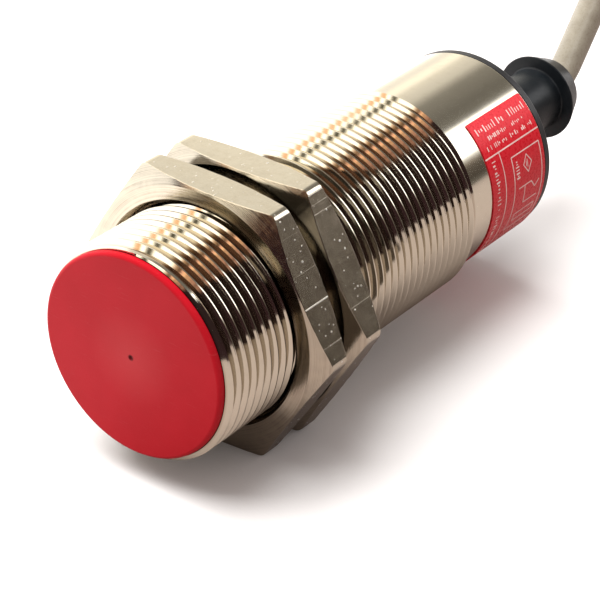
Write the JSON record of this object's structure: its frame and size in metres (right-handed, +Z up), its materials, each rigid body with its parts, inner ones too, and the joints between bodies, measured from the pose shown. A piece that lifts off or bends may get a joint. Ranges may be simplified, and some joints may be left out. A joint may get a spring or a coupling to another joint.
{
  "type": "cylindrical inductive proximity sensor",
  "caption": "Threaded metal-barrel proximity sensor with a red sensing face, hexagon mounting nuts, a wrap-round label, a rubber strain relief and a stripped cable tail.",
  "frame": {"origin": "centre of the sensing face's outer surface, on the barrel's axis", "axes": "+Y along the barrel from the sensing face to the cable, +Z up with the sensor lying on its nuts' flats"},
  "size_m": [0.0408, 0.1398, 0.0395],
  "materials": {
    "nickel_plated_barrel": "bright nickel plate over brass, polished",
    "nickel_plated_nut": "nickel plate over brass, drawn flats with fine scratches",
    "red_cap_plastic": "matte moulded plastic with a rounded rim",
    "red_label_film": "printed polyester film, satin",
    "black_plastic": "moulded, semi-matt",
    "black_rubber": "matt",
    "black_boot_rubber": "moulded, semi-gloss",
    "tinned_brass": "tinned, dull",
    "grey_cable_pvc": "extruded PVC, semi-gloss",
    "brown_pvc": "extruded PVC",
    "blue_pvc": "extruded PVC",
    "black_pvc": "extruded PVC",
    "copper": "bright copper",
    "ferrite": "sintered ferrite, matt",
    "natural_nylon": "moulded nylon",
    "green_board": "glass-epoxy board with green solder mask",
    "black_epoxy": "moulded epoxy",
    "yellow_epoxy": "moulded epoxy",
    "tan_ceramic": "fired ceramic",
    "solder": "bright solder",
    "clear_film": "rolled polyester film",
    "potting_resin": "cast epoxy resin"
  },
  "bodies": {
    "sensor_body": {"threaded_barrel": "nickel_plated_barrel", "sensing_cap": "red_cap_plastic", "rating_label": "red_label_film", "rear_plug": "black_plastic", "plug_o_ring": "black_rubber", "strain_relief_boot": "black_boot_rubber", "crimp_ferrule": "tinned_brass", "cable_jacket": "grey_cable_pvc", "brown_wire_insulation": "brown_pvc", "brown_wire_strands": "copper", "blue_wire_insulation": "blue_pvc", "blue_wire_strands": "copper", "black_wire_insulation": "black_pvc", "black_wire_strands": "copper", "ferrite_core": "ferrite", "coil_bobbin": "natural_nylon", "coil_winding": "copper", "shield_ring": "tinned_brass", "coil_leads": "copper", "core_carrier": "natural_nylon", "circuit_board": "green_board", "oscillator_chip": "black_epoxy", "output_transistor": "black_epoxy", "tantalum_capacitor": "yellow_epoxy", "protection_diode": "black_epoxy", "chip_resistors": "black_epoxy", "chip_capacitors": "tan_ceramic", "solder_joints": "solder", "insulating_sleeve": "clear_film", "potting_seal": "potting_resin"},
    "front_nut": {"front_nut": "nickel_plated_nut"},
    "rear_nut": {"rear_nut": "nickel_plated_nut"}
  },
  "joints": [
    {"name": "front_nut_travel", "type": "slide", "parent": "sensor_body", "child": "front_nut", "axis": [0, 1, 0], "range_m": [-0.0122, 0.001]},
    {"name": "rear_nut_travel", "type": "slide", "parent": "sensor_body", "child": "rear_nut", "axis": [0, 1, 0], "range_m": [-0.001, 0.029]}
  ]
}
